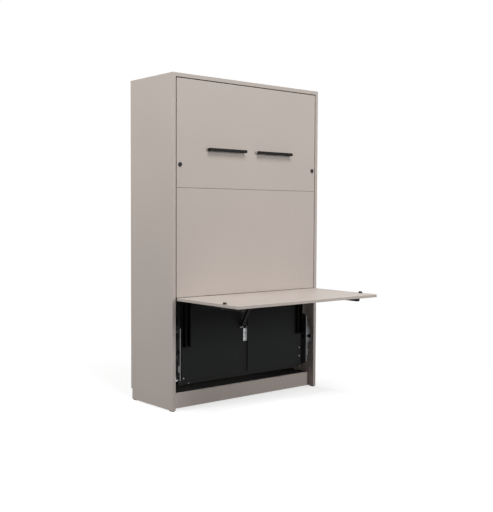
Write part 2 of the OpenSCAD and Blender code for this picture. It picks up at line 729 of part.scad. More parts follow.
// Plate behind each leg, with a round-ended lug that the leg's pin goes through
module leg_brackets() color(black_steel) both_sides() {
    translate([leg_axis.x + leg_lug_r - leg_base.x, -leg_base.y, leg_z - leg_base.z / 2]) cube(leg_base);
    at_leg() translate([0, 0, -leg_lug_h / 2]) difference() {
        linear_extrude(leg_lug_h) {
            circle(leg_lug_r);
            translate([-leg_lug_r, 0]) square([2 * leg_lug_r, -leg_axis.y - leg_base.y + cut]);
        }
        translate([0, 0, -cut]) cylinder(h = leg_lug_h + 2 * cut, r = leg_pin_r);
    }
}

module leg_pins() color(zinc) both_sides() at_leg() {
    h = leg_w / 2 + clear;
    translate([0, 0, -h]) cylinder(h = 2 * h, r = leg_pin_r);
    for (z = [-h - 1, h]) translate([0, 0, z]) cylinder(h = 1, r = leg_pin_r + 2);
}

// Square tube, open at its outer end and along the back of that end, where the lug goes in
module leg(s) color(black_steel) on_side(s) difference() {
    corner = [leg_end_x[0], leg_axis.y - leg_w / 2, leg_z - leg_w / 2];
    wall = [tube_t, tube_t, tube_t];
    len = leg_end_x[1] - leg_end_x[0];
    translate(corner) board([len, leg_w, leg_w], 1.5);
    translate(corner + wall - [tube_t + cut, 0, 0])
        cube([len + 2 * cut, leg_w - 2 * tube_t, leg_w - 2 * tube_t]);
    translate(corner + wall + [len - tube_t - leg_mouth, 0, 0])
        cube([leg_mouth + cut, leg_w, leg_w - 2 * tube_t]);
    at_leg() translate([0, 0, -leg_w]) cylinder(h = 2 * leg_w, r = leg_pin_r + slip);
}

module leg_foot(s) color(plastic) on_side(s)
    translate([leg_foot_x, leg_axis.y - leg_w / 2, leg_z - leg_w / 2]) {
    plug = leg_w - 2 * tube_t - 4 * slip;
    board([leg_end_x[0] - leg_foot_x, leg_w, leg_w], 1.5);
    translate([leg_end_x[0] - leg_foot_x - cut, tube_t + 2 * slip, tube_t + 2 * slip]) cube([16, plug, plug]);
}

// ---- Assembly ----

side_panel(-1);  // side_panel_left
side_panel(1);  // side_panel_right
top_panel();
plinth_board();
bottom_panel();
back_rails();
glide_feet();
pivot_plate(-1);  // pivot_plate_left
pivot_plate(1);  // pivot_plate_right
pivot_pins();
plate_screws();
strut_anchors();
latch_keepers();
panel_upper();
panel_middle();
side_rail(-1);  // side_rail_left
side_rail(1);  // side_rail_right
centre_beam();
head_rail();
foot_rail();
cross_rails();
panel_rails();
infill_board(-1);  // infill_board_left
infill_board(1);  // infill_board_right
board_screws();
bed_bracket(-1);  // bed_bracket_left
bed_bracket(1);  // bed_bracket_right
bracket_bolts();
pivot_bushes();
strut_studs();
slats();
slat_holders();
mattress_hoop_head();
mattress_hoop_foot();
support_channel(-1);  // support_channel_left
support_channel(1);  // support_channel_right
stay_track();
hinge_leaves_bed();
hinge_pins();
leg_brackets();
leg_pins();
strut_rod(-1);  // strut_rod_left
strut_rod(1);  // strut_rod_right
strut_tube(-1);  // strut_tube_left
strut_tube(1);  // strut_tube_right
desk_board();
hinge_leaves_desk();
desk_arm(-1);  // desk_arm_left
desk_arm(1);  // desk_arm_right
stay_clevis();
stay_arm();
stay_roller();
bed_latch(-1);  // bed_latch_left
bed_latch(1);  // bed_latch_right
desk_latch(-1);  // desk_latch_left
desk_latch(1);  // desk_latch_right
leg(-1);  // leg_left
leg(1);  // leg_right
leg_foot(-1);  // leg_foot_left
leg_foot(1);  // leg_foot_right
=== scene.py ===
import json
import math

import bmesh
import bpy
from mathutils import Matrix, Vector


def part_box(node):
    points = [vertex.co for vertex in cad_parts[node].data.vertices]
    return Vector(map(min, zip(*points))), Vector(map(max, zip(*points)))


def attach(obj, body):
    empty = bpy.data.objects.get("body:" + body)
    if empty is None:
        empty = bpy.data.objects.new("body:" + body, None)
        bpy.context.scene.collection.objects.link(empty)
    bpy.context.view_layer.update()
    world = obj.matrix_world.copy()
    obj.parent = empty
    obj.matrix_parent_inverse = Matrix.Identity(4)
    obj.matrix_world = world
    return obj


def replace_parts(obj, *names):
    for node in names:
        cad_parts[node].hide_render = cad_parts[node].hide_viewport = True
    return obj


# A wall bed with a fold-down desk: the finish of every CAD piece, the hardware that is too fine for the CAD,
# and a plain studio that is seen from the photograph's viewpoint.

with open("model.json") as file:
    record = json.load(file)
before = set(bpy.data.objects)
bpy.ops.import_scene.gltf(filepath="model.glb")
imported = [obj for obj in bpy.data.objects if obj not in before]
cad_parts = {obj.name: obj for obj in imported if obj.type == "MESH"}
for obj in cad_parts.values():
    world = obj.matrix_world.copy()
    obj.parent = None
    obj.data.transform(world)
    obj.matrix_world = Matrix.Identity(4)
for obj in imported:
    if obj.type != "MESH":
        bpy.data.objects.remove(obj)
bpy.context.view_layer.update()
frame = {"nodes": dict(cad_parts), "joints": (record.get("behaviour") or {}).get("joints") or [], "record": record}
nodes = frame["nodes"]
joints = {joint["name"]: joint for joint in frame["joints"]}
MM = 0.001
X, Y, Z = 0, 1, 2
FORWARDS, BACKWARDS = (0, -1, 0), (0, 1, 0)

# ---- Camera: the photograph's own viewpoint, in metres and degrees ----

CAMERA_AT = Vector((-3.6621, -4.2534, 1.2651))
CAMERA_YAW = 40.085      # from +Y towards +X
CAMERA_PITCH = 2.900     # downwards
CAMERA_ROLL = 0.278
FOCAL_PX = 832.02        # for a picture 512 pixels high
FILM = 36.0              # mm on the picture's longer side
PICTURE = (493, 512)


def make_camera():
    yaw, pitch, roll = (math.radians(a) for a in (CAMERA_YAW, CAMERA_PITCH, CAMERA_ROLL))
    forward = Vector((math.sin(yaw) * math.cos(pitch), math.cos(yaw) * math.cos(pitch), -math.sin(pitch)))
    level = Vector((math.cos(yaw), -math.sin(yaw), 0))
    upright = level.cross(forward)
    right = math.cos(roll) * level + math.sin(roll) * upright
    up = math.cos(roll) * upright - math.sin(roll) * level
    turn = Matrix((right, up, -forward)).transposed().to_4x4()
    data = bpy.data.cameras.new("camera")
    data.sensor_width = FILM
    data.lens = FOCAL_PX * FILM / max(PICTURE)
    camera = bpy.data.objects.new("camera", data)
    camera.matrix_world = Matrix.Translation(CAMERA_AT) @ turn
    bpy.context.scene.collection.objects.link(camera)
    bpy.context.scene.camera = camera


# ---- Light ----

# Each lamp: where it is, what it faces, the side of its square, and its power.
# "rear" and "right" are there for the views that the photograph doesn't show.
LAMPS = {
    "overhead": ((-0.9, -4.2, 6.6), (0, 0, 1.2), 2.8, 266),
    "front": ((2.1, -5.8, 2.6), (0, 0, 1.1), 2.0, 182),
    "rear": ((0.5, 5.8, 2.4), (0, 0.4, 1.1), 1.0, 160),
    "right": ((5.6, 0.9, 2.6), (0.6, 0.1, 1.1), 1.6, 90),
    "side": ((-5.2, 0.5, 3.8), (-0.6, 0.3, 1.2), 2.0, 217),
}
AMBIENT = 0.03           # brightness of the world as a light
WHITE = (1, 1, 1, 1)


def make_lamps():
    for name, (at, aim, side, power) in LAMPS.items():
        data = bpy.data.lights.new(name, "AREA")
        data.size = side
        data.energy = power
        lamp = bpy.data.objects.new(name, data)
        lamp.location = at
        lamp.rotation_euler = (Vector(aim) - Vector(at)).to_track_quat("-Z", "Y").to_euler()
        bpy.context.scene.collection.objects.link(lamp)


def plain_shader(tree, kind, **values):
    """The output of a new shader node of the kind, with the values set on its sockets."""
    node = tree.nodes.new(f"ShaderNode{kind}")
    for socket, value in values.items():
        node.inputs[socket].default_value = value
    return node.outputs[0]


def mixed_shader(tree, factor, first, second):
    """The first shader where the factor is 0, and the second where it is 1."""
    node = tree.nodes.new("ShaderNodeMixShader")
    for socket, source in zip(node.inputs, (factor, first, second)):
        tree.links.new(source, socket)
    return node.outputs[0]


def shown_rays(tree):
    """1 for the rays that show the white background: camera, glossy and transmission rays."""
    path = tree.nodes.new("ShaderNodeLightPath")
    total = path.outputs["Is Camera Ray"]
    for ray in ("Is Glossy Ray", "Is Transmission Ray"):
        either = tree.nodes.new("ShaderNodeMath")
        either.operation = "MAXIMUM"
        tree.links.new(total, either.inputs[0])
        tree.links.new(path.outputs[ray], either.inputs[1])
        total = either.outputs[0]
    return total


def make_world():
    """A world that shows as white and lights the object faintly."""
    world = bpy.data.worlds.new("studio")
    bpy.context.scene.world = world
    world.use_nodes = True
    tree = world.node_tree
    tree.nodes.clear()
    faint = plain_shader(tree, "Background", Color=WHITE, Strength=AMBIENT)
    white = plain_shader(tree, "Background", Color=WHITE, Strength=1)
    surface = mixed_shader(tree, shown_rays(tree), faint, white)
    tree.links.new(surface, tree.nodes.new("ShaderNodeOutputWorld").inputs[0])


FLOOR_HALF = 30.0
FLOOR_TONE = (0.12, 0.12, 0.12, 1)   # what the floor throws back onto the object
FLOOR_SHOWN = (0.42, 0.42, 0.42, 1)  # what the lamps add to the floor's own white, so shadows stay pale
FLOOR_OWN_WHITE = 0.66
FLOOR_FADE = (1.2, 3.5)              # distances from the object's middle over which the floor turns white


def distance_fade(tree):
    """0 nearer to the object's middle than FLOOR_FADE, and 1 further away."""
    place = tree.nodes.new("ShaderNodeTexCoord")
    distance = tree.nodes.new("ShaderNodeVectorMath")
    distance.operation = "LENGTH"
    fade = tree.nodes.new("ShaderNodeMapRange")
    fade.interpolation_type = "SMOOTHSTEP"
    for socket, limit in zip(("From Min", "From Max"), FLOOR_FADE):
        fade.inputs[socket].default_value = limit
    tree.links.new(place.outputs["Object"], distance.inputs[0])
    tree.links.new(distance.outputs["Value"], fade.inputs["Value"])
    return fade.outputs[0]


def floor_material():
    """A floor that shows the object's shadow and is white further away."""
    material = bpy.data.materials.new("floor")
    material.use_nodes = True
    tree = material.node_tree
    tree.nodes.clear()
    shadowed = tree.nodes.new("ShaderNodeAddShader")
    tree.links.new(plain_shader(tree, "BsdfDiffuse", Color=FLOOR_SHOWN), shadowed.inputs[0])
    tree.links.new(plain_shader(tree, "Emission", Strength=FLOOR_OWN_WHITE), shadowed.inputs[1])
    white = plain_shader(tree, "Emission", Color=WHITE, Strength=1)
    shown = mixed_shader(tree, distance_fade(tree), shadowed.outputs[0], white)
    plain = plain_shader(tree, "BsdfDiffuse", Color=FLOOR_TONE)
    surface = mixed_shader(tree, shown_rays(tree), plain, shown)
    tree.links.new(surface, tree.nodes.new("ShaderNodeOutputMaterial").inputs[0])
    return material


def make_floor():
    mesh = bpy.data.meshes.new("floor")
    h = FLOOR_HALF
    mesh.from_pydata([(-h, -h, 0), (h, -h, 0), (h, h, 0), (-h, h, 0)], [], [(0, 1, 2, 3)])
    mesh.materials.append(floor_material())
    floor = bpy.data.objects.new("floor", mesh)
    bpy.context.scene.collection.objects.link(floor)


# ---- Materials ----

FACING_COSINE = 0.7      # a surface faces along an axis where its normal has more than this along it


class Shader:
    """A principled material and short calls for the nodes that shape it."""

    def __init__(self, name, colour, roughness, metallic=0.0, specular=0.5):
        self.material = bpy.data.materials.new(name)
        self.material.use_nodes = True
        self.material.diffuse_color = (*colour, 1)
        self.tree = self.material.node_tree
        self.surface = self.tree.nodes["Principled BSDF"]
        self.surface.inputs["Base Color"].default_value = (*colour, 1)
        self.surface.inputs["Roughness"].default_value = roughness
        self.surface.inputs["Metallic"].default_value = metallic
        self.surface.inputs["Specular IOR Level"].default_value = specular
        self.colour = colour
        self.place = self.tree.nodes.new("ShaderNodeTexCoord")

    def link(self, source, target):
        self.tree.links.new(source, target)

    def placed(self, kind, vector=None, **numbers):
        """A node with its numbers set, which reads the vector or else the object's own coordinates."""
        node = self.tree.nodes.new(f"ShaderNode{kind}")
        for socket, number in numbers.items():
            node.inputs[socket].default_value = number
        self.link(vector or self.place.outputs["Object"], node.inputs["Vector"])
        return node

    def mapping(self, scale):
        """Object coordinates, stretched along the axes whose scale is under 1."""
        return self.placed("Mapping", Scale=scale).outputs[0]

    def noise(self, scale, detail=3.0, vector=None, roughness=0.5):
        return self.placed("TexNoise", vector, Scale=scale, Detail=detail, Roughness=roughness).outputs["Fac"]

    def cells(self, scale):
        return self.placed("TexVoronoi", Scale=scale).outputs["Color"]

    def axis(self, output, axis):
        """One component of the object's own position or normal."""
        node = self.tree.nodes.new("ShaderNodeSeparateXYZ")
        self.link(self.place.outputs[output], node.inputs[0])
        return node.outputs[axis]

    def span(self, value, low, high, start=0.0, end=1.0):
        """The value, carried over from the range start to end to the range low to high."""
        node = self.tree.nodes.new("ShaderNodeMapRange")
        for socket, number in (("From Min", start), ("From Max", end), ("To Min", low), ("To Max", high)):
            node.inputs[socket].default_value = number
        self.link(value, node.inputs["Value"])
        return node.outputs[0]

    def math(self, operation, a, b=0.0):
        node = self.tree.nodes.new("ShaderNodeMath")
        node.operation = operation
        for socket, value in zip(node.inputs, (a, b)):
            if isinstance(value, (int, float)):
                socket.default_value = value
            else:
                self.link(value, socket)
        return node.outputs[0]

    def mix(self, factor, a, b):
        node = self.tree.nodes.new("ShaderNodeMix")
        node.data_type = "RGBA"
        self.link(factor, node.inputs[0])
        for socket, value in zip(node.inputs[6:8], (a, b)):
            if isinstance(value, tuple):
                socket.default_value = (*value, 1)
            else:
                self.link(value, socket)
        return node.outputs[2]

    def shade(self, factor, spread):
        """The base colour, made lighter and darker by up to spread."""
        return self.mix(factor, scaled(self.colour, 1 - spread), scaled(self.colour, 1 + spread))

    def blend(self, *parts):
        """The weighted sum of several values, given as (value, weight) pairs."""
        total = 0.0
        for value, weight in parts:
            total = self.math("ADD", total, self.math("MULTIPLY", value, weight))
        return total

    def facing(self, axis):
        """1 on surfaces that face along the axis, either way, and 0 on the others."""
        return self.math("GREATER_THAN", self.math("ABSOLUTE", self.axis("Normal", axis)), FACING_COSINE)

    def drive(self, socket, value):
        self.link(value, self.surface.inputs[socket])

    def bump(self, height, distance, strength=1.0):
        node = self.tree.nodes.new("ShaderNodeBump")
        node.inputs["Distance"].default_value = distance
        node.inputs["Strength"].default_value = strength
        self.link(height, node.inputs["Height"])
        self.drive("Normal", node.outputs[0])


def srgb(*levels):
    """A colour written in a screen's 0 to 255 levels, as the linear colour that Blender takes."""
    return tuple((v / 255 / 12.92) if v <= 10 else ((v / 255 + 0.055) / 1.055) ** 2.4 for v in levels)


def scaled(colour, share):
    return tuple(level * share for level in colour)


GREIGE = srgb(190, 180, 173)
DARK_BOARD = srgb(31, 32, 33)
# The bottom panel's laminate: a dark board, made darker still as painted shade for its place deep under the bed
SHADE_DARKENED_BOARD = srgb(19, 18, 17)
BLACK_PAINT = srgb(13, 12, 11)
BLACK_PLASTIC = srgb(15, 13, 12)
ZINC = srgb(150, 152, 153)
BRIGHT_ZINC = srgb(172, 174, 175)
DULL_ZINC = srgb(94, 95, 95)
CHROME = srgb(168, 170, 173)
BEECH = srgb(214, 184, 142)
RUBBER = srgb(26, 26, 26)

BAND_TONES = (0.93, 0.97)    # an edge band's darkest and lightest tone, as shares of the board's colour
FACE_ROUGHER = 0.07          # how much rougher a board's broad face is than its edge band


def laminate(name, colour, thin, roughness, specular):
    """Melamine on board. Its broad faces look along the axis thin; the others have an edge band.

    The face has a fine upright emboss and slight clouds in tone; the band is smoother and a shade darker.
    """
    m = Shader(name, colour, roughness, specular=specular)
    face = m.facing(thin)
    clouds = m.noise(2.2, detail=2)
    fibre = m.noise(260, detail=4, vector=m.mapping((1, 1, 0.05)))
    scuffs = m.noise(38, detail=6, roughness=0.7)
    tone = m.blend((clouds, 0.5), (fibre, 0.3), (scuffs, 0.2))
    broad = m.shade(m.span(tone, 0, 1, 0.35, 0.65), 0.022)
    band = m.mix(m.span(fibre, 0, 1, 0.3, 0.7), *(scaled(colour, share) for share in BAND_TONES))
    m.drive("Base Color", m.mix(face, band, broad))
    m.drive("Roughness", m.math("ADD", m.span(fibre, roughness - 0.12, roughness, 0.3, 0.7),
                                m.math("MULTIPLY", face, FACE_ROUGHER)))
    m.bump(m.math("MULTIPLY", fibre, face), 0.0001, 0.35)
    return m.material


def powder_coat(name, colour, specular=0.12):
    """Black powder coat: orange peel, and dust that dulls it in places."""
    m = Shader(name, colour, 0.45, specular=specular)
    peel = m.noise(900, detail=2)
    dust = m.noise(14, detail=5)
    m.drive("Base Color", m.shade(m.span(dust, 0, 1, 0.35, 0.7), 0.22))
    m.drive("Roughness", m.span(dust, 0.38, 0.56, 0.3, 0.7))
    m.bump(peel, 0.0001, 0.6)
    return m.material


def zinc_plate(name, colour):
    """Galvanised steel: faint spangles under a brushed grain."""
    m = Shader(name, colour, 0.4, metallic=1.0)
    spangle = m.cells(130)
    brushed = m.noise(420, detail=4, vector=m.mapping((1, 1, 0.06)))
    stain = m.span(m.noise(45, detail=5), 0, 1, 0.3, 0.7)
    tone = m.math("MULTIPLY", spangle, m.span(brushed, 0.7, 1.1, 0.3, 0.7))
    m.drive("Base Color", m.shade(m.blend((tone, 0.6), (stain, 0.4)), 0.2))
    m.drive("Roughness", m.span(brushed, 0.34, 0.54, 0.3, 0.7))
    m.bump(brushed, 0.00005, 0.5)
    return m.material


def polished_rod(name, colour):
    """Ground and polished rod, with the faint rings of grinding."""
    m = Shader(name, colour, 0.09, metallic=1.0)
    rings = m.noise(1200, detail=3, vector=m.mapping((0.02, 0.02, 1)))
    m.drive("Roughness", m.span(rings, 0.05, 0.16, 0.3, 0.7))
    m.drive("Base Color", m.shade(rings, 0.04))
    return m.material


def moulded(name, colour, roughness=0.5, specular=0.3):
    """Moulded plastic or rubber with a fine grain and slight flow marks."""
    m = Shader(name, colour, roughness, specular=specular)
    grain = m.noise(1400, detail=2)
    flow = m.noise(30, detail=3)
    m.drive("Base Color", m.shade(flow, 0.14))
    m.drive("Roughness", m.span(flow, roughness - 0.06, roughness + 0.08, 0.3, 0.7))
    m.bump(grain, 0.00006, 0.5)
    return m.material


PLY = 1.35 * MM          # thickness of one layer of a slat
SLAT_CURVE = 0.034       # the layers follow the slat's bow: y falls by this times x squared


def beech_slat(name, colour):
    """Lacquered beech ply: long grain along X on the faces, glued layers on the long edges."""
    m = Shader(name, colour, 0.36)
    grain = m.noise(60, detail=6, vector=m.mapping((0.06, 1, 1.6)), roughness=0.6)
    fleck = m.noise(700, detail=2, vector=m.mapping((0.05, 1, 1)))
    x = m.axis("Object", X)
    bow = m.math("MULTIPLY", m.math("MULTIPLY", x, x), SLAT_CURVE)
    depth = m.math("ADD", m.axis("Object", Y), bow)
    layers = m.math("SINE", m.math("MULTIPLY", depth, 2 * math.pi / PLY))
    tone = m.span(m.blend((grain, 0.8), (fleck, 0.2)), 0, 1, 0.3, 0.7)
    edge = m.math("MULTIPLY", m.facing(Z), m.span(layers, -0.5, 0.5, -1, 1))
    m.drive("Base Color", m.shade(m.math("ADD", tone, edge), 0.14))
    m.drive("Roughness", m.span(grain, 0.30, 0.44, 0.3, 0.7))
    m.bump(fleck, 0.0001, 0.3)
    return m.material


# The materials by slot, with one more for duller zinc
MATERIALS = {
    "black_steel": powder_coat("black_powder_coat", BLACK_PAINT),
    "zinc": zinc_plate("zinc_plate", ZINC),
    "dull_zinc": zinc_plate("dull_zinc", DULL_ZINC),
    "rod_chrome": polished_rod("polished_rod", CHROME),
    "black_plastic": moulded("black_plastic", BLACK_PLASTIC, 0.42),
    "rubber": moulded("rubber", RUBBER, 0.75, specular=0.2),
    "birch": beech_slat("beech_slat", BEECH),
}
DULL_NODES = ("bed_bracket_left", "bed_bracket_right", "hinge_leaves_bed", "hinge_leaves_desk", "hinge_pins")
# Nodes that are lighter or darker than the others of their slot; the bottom panel's darker laminate is painted
# shade
OWN_FINISH_AND_PAINTED_SHADE = {
    "stay_track": zinc_plate("bright_zinc", BRIGHT_ZINC),
    # Painted shade: the bottom panel, deep under the bed, gets a laminate darker than the dark boards
    "bottom_panel": laminate("shade_darkened_laminate", SHADE_DARKENED_BOARD, Z, 0.7, 0.012),
    **{node: MATERIALS["dull_zinc"] for node in DULL_NODES},
}
# Each kind of board: its finish's name, colour, roughness and specular level
BOARDS = {
    "greige_board": ("greige_laminate", GREIGE, 0.50, 0.25),
    "desk_laminate": ("desk_laminate", GREIGE, 0.46, 0.25),
    "dark_board": ("dark_laminate", DARK_BOARD, 0.60, 0.10),
}


def thin_axis(node):
    low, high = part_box(node)
    return min((X, Y, Z), key=lambda axis: high[axis] - low[axis])


def board_material(slot, thin):
    """A board's laminate, made once for each slot and each axis that boards of it are thin along."""
    key = (slot, thin)
    if key not in MATERIALS:
        name, colour, roughness, specular = BOARDS[slot]
        MATERIALS[key] = laminate(f"{name}_{'xyz'[thin]}", colour, thin, roughness, specular)
    return MATERIALS[key]


def finish(node, slot):
    if node in OWN_FINISH_AND_PAINTED_SHADE:
        return OWN_FINISH_AND_PAINTED_SHADE[node]
    return board_material(slot, thin_axis(node)) if slot in BOARDS else MATERIALS[slot]


def dress_nodes():
    """Gives each CAD piece its finish."""
    for part in frame["record"]["subparts"]:
        slots = nodes[part["node"]].data.materials
        slots.clear()
        slots.append(finish(part["node"], part["material_slot"]))


# ---- Tools for the detail pieces ----

STEPS = 48               # points round an outline
UPRIGHT_SINE = 0.1       # a direction that leans less than this from upright counts as upright
SMOOTH_ANGLE = 35        # edges sharper than this, in degrees, stay sharp
CAD_MERGE = 0.01 * MM    # vertices of a CAD mesh that are closer than this are one
OWN_MERGE = 0.001 * MM   # the same for the meshes made here
NEARLY_ZERO = 1e-6


def connected(first):
    """The vertices that edges lead to from the first."""
    reached, waiting = {first}, [first]
    while waiting:
        vert = waiting.pop()
        others = {edge.other_vert(vert) for edge in vert.link_edges} - reached
        reached |= others
        waiting.extend(others)
    return reached


def extremes(verts):
    """The low and high corner of the vertices."""
    return [[pick(vert.co[axis] for vert in verts) for axis in (X, Y, Z)] for pick in (min, max)]


def solids(node):
    """The low and high corner of each separate solid of a CAD node, in order."""
    bm = bmesh.new()
    bm.from_mesh(nodes[node].data)
    bmesh.ops.remove_doubles(bm, verts=bm.verts[:], dist=CAD_MERGE)
    corners, seen = [], set()
    for first in bm.verts:
        if first not in seen:
            solid = connected(first)
            seen |= solid
            corners.append(extremes(solid))
    bm.free()
    return [(Vector(low), Vector(high)) for low, high in sorted(corners)]


def towards(point, direction, size=1.0):
    """A place at the point, with its Z axis along the direction and its Y axis upright where it can be."""
    z = Vector(direction).normalized()
    level = Vector((0, 0, 1)).cross(z)
    x = level.normalized() if level.length > UPRIGHT_SINE else Vector((1, 0, 0))
    turn = Matrix((x, z.cross(x), z)).transposed().to_4x4()
    return Matrix.Translation(Vector(point)) @ turn @ Matrix.Scale(size, 4)


def polar(radius, steps=STEPS):
    """An outline from its radius at each angle."""
    angles = [2 * math.pi * k / steps for k in range(steps)]
    return [(radius(a) * math.cos(a), radius(a) * math.sin(a)) for a in angles]


def circle(radius, steps=STEPS):
    return polar(lambda angle: radius, steps)


def cross(reach, half):
    """A cross recess: how far its arms reach, and half their width."""
    def radius(angle):
        off = abs((angle + math.pi / 4) % (math.pi / 2) - math.pi / 4)
        along_arm = min(half / max(math.sin(off), NEARLY_ZERO), reach / math.cos(off))
        return max(half / math.cos(off), along_arm)
    return polar(radius)


def hexagon(flats):
    """A hexagon, from the distance between its opposite sides."""
    sixth = math.pi / 3
    return polar(lambda angle: flats / 2 / math.cos((angle + sixth / 2) % sixth - sixth / 2))


def rectangle(width, height, corner):
    """A rectangle with round corners, each with a quarter of the outline's points."""
    outline = []
    each = STEPS // 4
    for quarter, (side, rise) in enumerate(((1, 1), (-1, 1), (-1, -1), (1, -1))):
        for step in range(each):
            angle = math.pi / 2 * (quarter + step / (each - 1))
            outline.append((side * (width / 2 - corner) + corner * math.cos(angle),
                            rise * (height / 2 - corner) + corner * math.sin(angle)))
    return outline


def form(bm, place, sections, steps=STEPS):
    """Skins a form along the place's Z axis from sections of (height, outline), in mm.

    An outline is a list of points, or the radius of a circle. A radius of 0 closes the form.
    """
    rings = []
    for height, outline in sections:
        if outline == 0:
            outline = [(0, 0)]
        elif not isinstance(outline, list):
            outline = circle(outline, steps)
        rings.append([bm.verts.new(place @ (Vector((x, y, height)) * MM)) for x, y in outline])
    for a, b in zip(rings, rings[1:]):
        for k in range(max(len(a), len(b))):
            corners = (a[k % len(a)], a[(k + 1) % len(a)], b[(k + 1) % len(b)], b[k % len(b)])
            bm.faces.new(list(dict.fromkeys(corners)))


def piece(name, bm, slot, body):
    """Makes a mesh into a piece of the slot's material that rides on the body."""
    bmesh.ops.remove_doubles(bm, verts=bm.verts[:], dist=OWN_MERGE)
    bmesh.ops.recalc_face_normals(bm, faces=bm.faces[:])
    mesh = bpy.data.meshes.new(name)
    bm.to_mesh(mesh)
    bm.free()
    mesh.shade_smooth()
    mesh.set_sharp_from_angle(angle=math.radians(SMOOTH_ANGLE))
    mesh.materials.append(MATERIALS[slot])
    made = bpy.data.objects.new(name, mesh)
    bpy.context.scene.collection.objects.link(made)
    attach(made, body)
    return made


# ---- Screws. Profiles are (height, radius or outline) in mm, up from the plane that the head sits on ----

PAN_HEAD = [(0, 5), (0.5, 5), (1.2, 4.7), (1.7, 4.1), (2, 3.2),
            (2, cross(2.5, 0.55)), (0.7, cross(1.8, 0.4)), (0.6, 0)]
SUNK_HEAD = [(0, 5), (0, cross(2.9, 0.55)), (-1.3, cross(2, 0.4)), (-1.5, 0)]
FLAT_BOLT_HEAD = [(0, 12), (1.3, 12), (2, 11.3), (2, 8.6), (1.6, 8.2), (1.6, 7.4), (2, 7),
                  (2, hexagon(8)), (0.3, hexagon(7.8)), (0.3, 0)]
WASHERED_SCREW = [(-0.5, 0), (-0.5, 8), (0.9, 8), (1.2, 7.7), (1.2, 5.2), (1.7, 5.2), (2.6, 4.8), (3.2, 4),
                  (3.5, 3.2), (3.5, cross(2.5, 0.55)), (2.2, cross(1.8, 0.4)), (2.1, 0)]
SHANK_RADIUS = 2.5
BOLT_RADIUS = 4
TIP = 1.2                # height of a shank's pointed end
NECK = 2                 # height of a shank's last stretch, where a sunk head widens
BOARD_SCREW = 8          # lengths of the shanks
SUNK_SCREW = 4
PLATE_SCREW = 17
CAD_HEAD = 2 * MM        # height of the CAD's own screw heads
BIG_HEAD = 20 * MM       # only the large bolts' heads are wider than this


def shank(length, radius=SHANK_RADIUS):
    """A screw's hidden part, from its tip to the plane that its head sits on."""
    return [(-length, 0), (TIP - length, radius), (-NECK, radius), (0, radius)]


def pan_screw(bm, place, length=BOARD_SCREW):
    form(bm, place, shank(length) + PAN_HEAD)


def sunk_screw(bm, place):
    """A countersunk screw, whose head widens from the shank's neck."""
    form(bm, place, shank(SUNK_SCREW)[:-1] + SUNK_HEAD)


def over(point, *names):
    """Whether the point is over one of the nodes, seen from the front."""
    boxes = [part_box(node) for node in names]
    return any(low.x < point.x < high.x and low.z < point.z < high.z for low, high in boxes)


def make_board_screws():
    """Cross-headed screws where the CAD has plain ones, black in the channels and on the centre beam."""
    bright, black = bmesh.new(), bmesh.new()
    for low, high in solids("board_screws"):
        middle = (low + high) / 2
        on_track = over(middle, "stay_track")
        in_channel = over(middle, "support_channel_left", "support_channel_right")
        on_rail = over(middle, "side_rail_left", "side_rail_right") and not in_channel
        mesh = bright if on_track or on_rail else black
        if on_track or in_channel:
            sunk_screw(mesh, towards((middle.x, low.y, middle.z), FORWARDS))
        else:
            pan_screw(mesh, towards((middle.x, low.y + CAD_HEAD, middle.z), FORWARDS))
    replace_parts(piece("rail_and_track_screws", bright, "zinc", "bed"), "board_screws")
    piece("beam_and_channel_screws", black, "black_steel", "bed")


def make_plate_screws():
    """The cross-headed screws and the large hexagon-socket bolts of the plates on the cabinet's sides."""
    bm = bmesh.new()
    for low, high in solids("plate_screws"):
        middle = (low + high) / 2
        side = math.copysign(1, middle.x)
        seat_x = side * (min(abs(low.x), abs(high.x)) + CAD_HEAD)
        place = towards((seat_x, middle.y, middle.z), (-side, 0, 0))
        if high.z - low.z > BIG_HEAD:
            form(bm, place, shank(PLATE_SCREW, BOLT_RADIUS) + FLAT_BOLT_HEAD)
        else:
            pan_screw(bm, place, PLATE_SCREW)
    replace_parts(piece("plate_cross_screws", bm, "zinc", "cabinet"), "plate_screws")


# Each row of the front panels' screws: the node whose rear face it is on, and its height in mm
PANEL_SCREW_ROWS = (("cross_rails", 1430), ("foot_rail", 2078), ("panel_rails", 760))
PANEL_SCREW_XS = (140, 300, 460)
LOW_SCREWS = ((-473, 156), (532, 156))   # x and height in mm of two small screws below the dark boards
LOW_SCREW_SIZE = 0.6


def make_frame_screws():
    """The front panels' fixing screws, seen from behind, and two small screws below the dark boards."""
    bm = bmesh.new()
    for node, z in PANEL_SCREW_ROWS:
        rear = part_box(node)[1].y
        for x in PANEL_SCREW_XS:
            for side in (-1, 1):
                form(bm, towards((side * x * MM, rear, z * MM), BACKWARDS), WASHERED_SCREW)
    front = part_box("head_rail")[0].y
    for x, z in LOW_SCREWS:
        pan_screw(bm, towards((x * MM, front, z * MM), FORWARDS, LOW_SCREW_SIZE))
    piece("panel_fixing_screws", bm, "zinc", "bed")


# ---- The stay's roller. Heights are along its axle, from the wheel's middle towards the right, in mm ----

WHEEL = [(-11.4, 0), (-11.4, 6.4), (-12, 7), (-12, 10.8), (-11.7, 11.6), (-10.8, 12), (-3, 12), (-2, 11.3),
         (2, 11.3), (3, 12), (10.8, 12), (11.7, 11.6), (12, 10.8), (12, 7), (11.4, 6.4), (11.4, 0)]
# The axle from its hexagon head, on the left of the stay, to the wheel
AXLE = [(-51.2, 0), (-51.2, hexagon(11.4)), (-50.6, hexagon(12.6)), (-47.2, hexagon(12.6)), (-47.2, 8.2),
        (-46.8, 8.5), (-46, 8.5), (-46, 4), (-14, 4), (-12.4, 4), (-11.6, 3.6), (-11.6, 0)]


